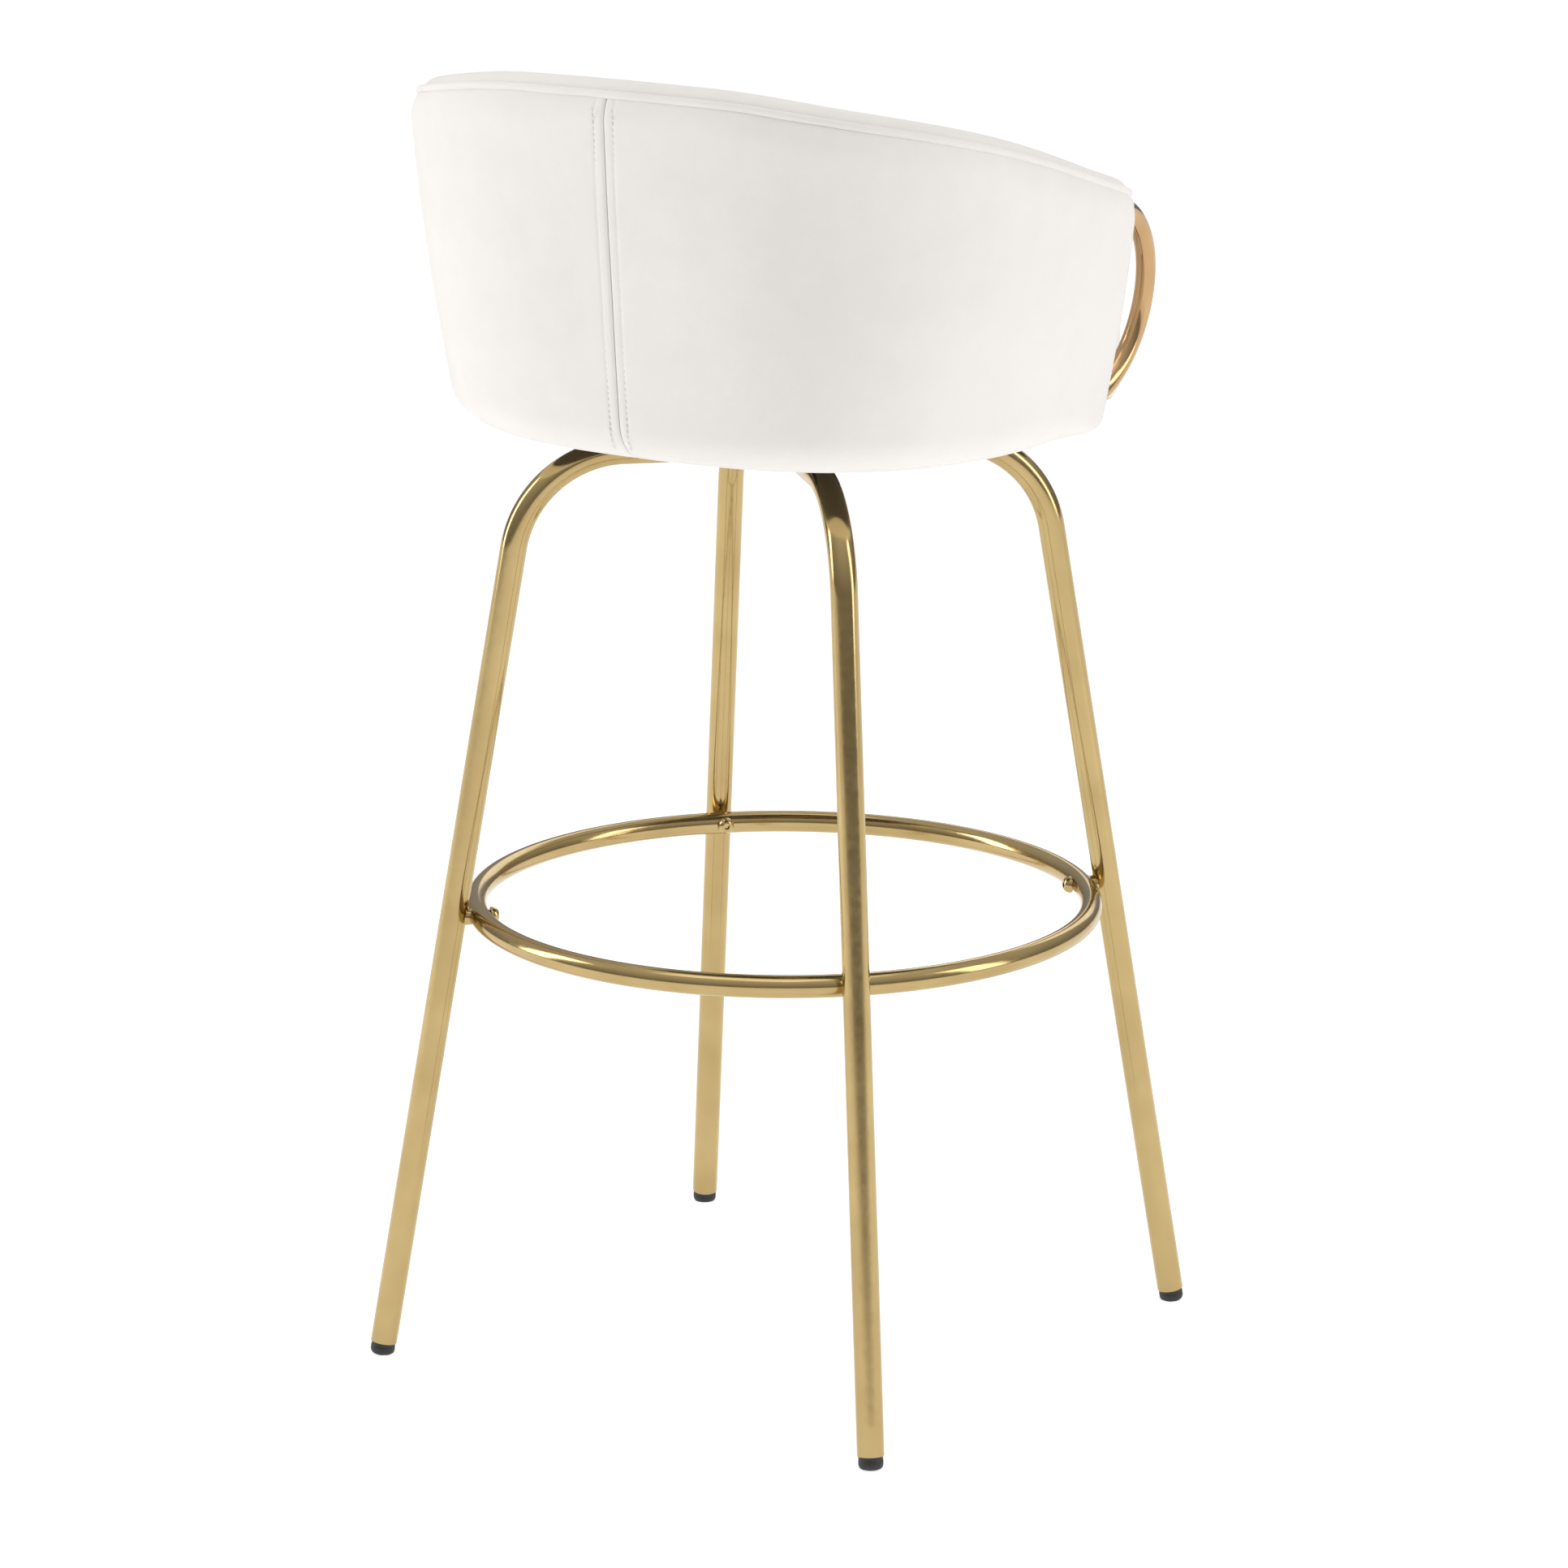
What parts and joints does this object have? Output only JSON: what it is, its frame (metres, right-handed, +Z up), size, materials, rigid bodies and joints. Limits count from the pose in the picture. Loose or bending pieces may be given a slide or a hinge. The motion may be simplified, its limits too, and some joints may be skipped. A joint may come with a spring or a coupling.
{
  "type": "bar stool",
  "caption": "Swivelling bar stool: velvet barrel seat with gold tube hoops at the arms, on splayed bent-tube legs with a round footrest.",
  "frame": {"origin": "on the floor, on the axis of the swivel, midway between the four feet", "axes": "+Z up, -Y the way the sitter faces, +X the sitter's left"},
  "size_m": [0.513, 0.4574, 0.935],
  "materials": {
    "gold": "polished gold plating",
    "velvet": "short-pile ivory velvet",
    "glide_plastic": "moulded matte black",
    "cage_plastic": "moulded natural nylon",
    "black_steel": "black powder coat",
    "zinc": "bright zinc plate",
    "plywood": "raw plywood",
    "dust_cloth": "black non-woven cloth"
  },
  "bodies": {
    "base": {"leg_front_left": "gold", "leg_front_right": "gold", "leg_rear_left": "gold", "leg_rear_right": "gold", "glide_front_left": "glide_plastic", "glide_front_right": "glide_plastic", "glide_rear_left": "glide_plastic", "glide_rear_right": "glide_plastic", "footrest_ring": "gold", "footrest_screws": "gold", "footrest_spacers": "gold", "leg_rivet_nuts": "zinc", "leg_top_plate": "black_steel", "lower_swivel_plate": "black_steel", "swivel_rivet": "zinc", "ball_cage": "cage_plastic", "swivel_balls": "zinc", "swivel_bolts": "zinc", "swivel_nuts": "zinc"},
    "seat": {"upper_swivel_plate": "black_steel", "seat_screws": "zinc", "t_nuts": "zinc", "seat_board": "plywood", "dust_cover": "dust_cloth", "seat_cushion": "velvet", "shell_frame": "plywood", "shell_screws": "zinc", "arm_post_left": "plywood", "arm_post_right": "plywood", "back_pad": "velvet", "outer_cover_left": "velvet", "outer_cover_right": "velvet", "arm_front_left": "velvet", "arm_front_right": "velvet", "rim_roll": "velvet", "rim_piping": "velvet", "arm_hoop_left": "gold", "arm_hoop_right": "gold", "hoop_inserts": "zinc", "hoop_screws": "zinc"}
  },
  "joints": [
    {"name": "seat_swivel", "type": "hinge", "parent": "base", "child": "seat", "pos_m": [0, 0, 0.6745], "axis": [0, 0, 1], "continuous": true}
  ]
}
